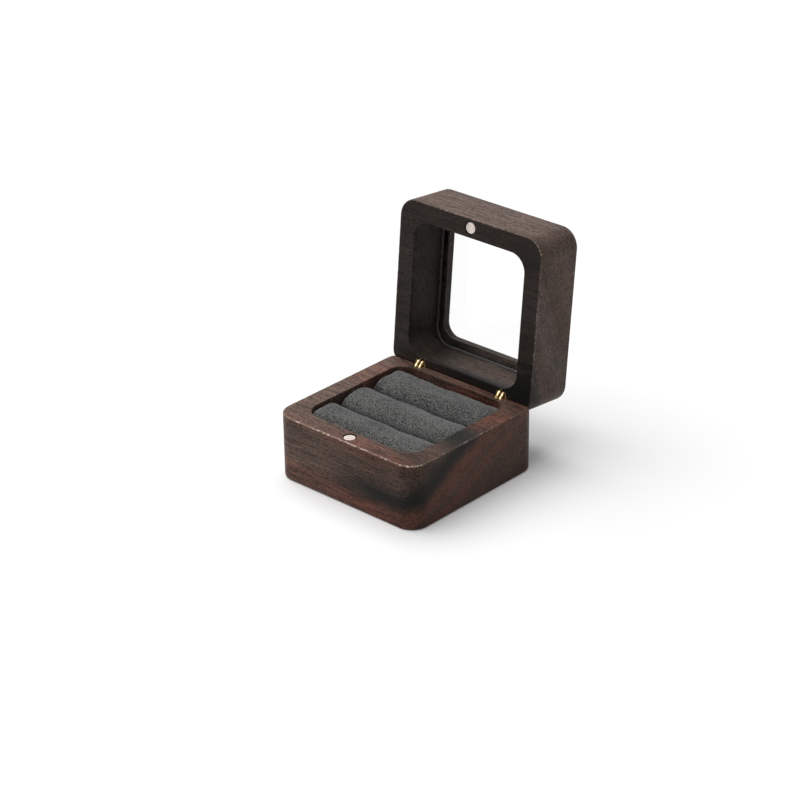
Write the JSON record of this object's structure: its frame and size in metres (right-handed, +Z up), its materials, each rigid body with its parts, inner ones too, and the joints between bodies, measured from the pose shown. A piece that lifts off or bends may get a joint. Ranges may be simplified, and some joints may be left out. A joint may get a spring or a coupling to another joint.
{
  "type": "ring box",
  "caption": "Square hardwood ring box with a glass-topped lid on barrel hinges and a velvet roll cushion with ring slots.",
  "frame": {"origin": "centre of the flat underside that the box stands on", "axes": "+Z up, the front (the side with the magnets) faces -Y, +X to the right along the hinge line"},
  "size_m": [0.06, 0.0799, 0.0789],
  "materials": {
    "walnut": "open-pored hand-waxed dark walnut",
    "velvet": "short charcoal nap",
    "foam": "open-cell foam",
    "card": "matt grey card",
    "pane": "clear polished",
    "glue": "clear cured glue",
    "nickel": "satin nickel plate",
    "brass": "polished"
  },
  "bodies": {
    "base": {"base_body": "walnut", "cushion_board": "card", "front_roll_core": "foam", "front_roll_cover": "velvet", "middle_roll_core": "foam", "middle_roll_cover": "velvet", "rear_roll_core": "foam", "rear_roll_cover": "velvet", "base_magnet": "nickel", "left_base_barrel": "brass", "left_base_pin": "brass", "right_base_barrel": "brass", "right_base_pin": "brass"},
    "left_link": {"left_outer_link": "brass", "left_inner_link": "brass"},
    "right_link": {"right_outer_link": "brass", "right_inner_link": "brass"},
    "lid": {"lid_frame": "walnut", "window_glass": "pane", "glass_bead": "glue", "lid_magnet": "nickel", "left_lid_barrel": "brass", "left_lid_pin": "brass", "right_lid_barrel": "brass", "right_lid_pin": "brass"}
  },
  "joints": [
    {"name": "left_link_turn", "type": "hinge", "parent": "base", "child": "left_link", "pos_m": [-0.0176, 0.02584, 0.022], "axis": [1, 0, 0], "range_deg": [0, 47.75]},
    {"name": "right_link_turn", "type": "hinge", "parent": "base", "child": "right_link", "pos_m": [0.0176, 0.02584, 0.022], "axis": [1, 0, 0], "range_deg": [0, 47.75]},
    {"name": "lid_turn", "type": "hinge", "parent": "left_link", "child": "lid", "pos_m": [-0.0176, 0.02721, 0.02324], "axis": [1, 0, 0], "range_deg": [0, 47.75]}
  ],
  "couplings": [
    {"joint": "left_link_turn", "follows": "lid_turn", "ratio": 1},
    {"joint": "right_link_turn", "follows": "lid_turn", "ratio": 1}
  ]
}
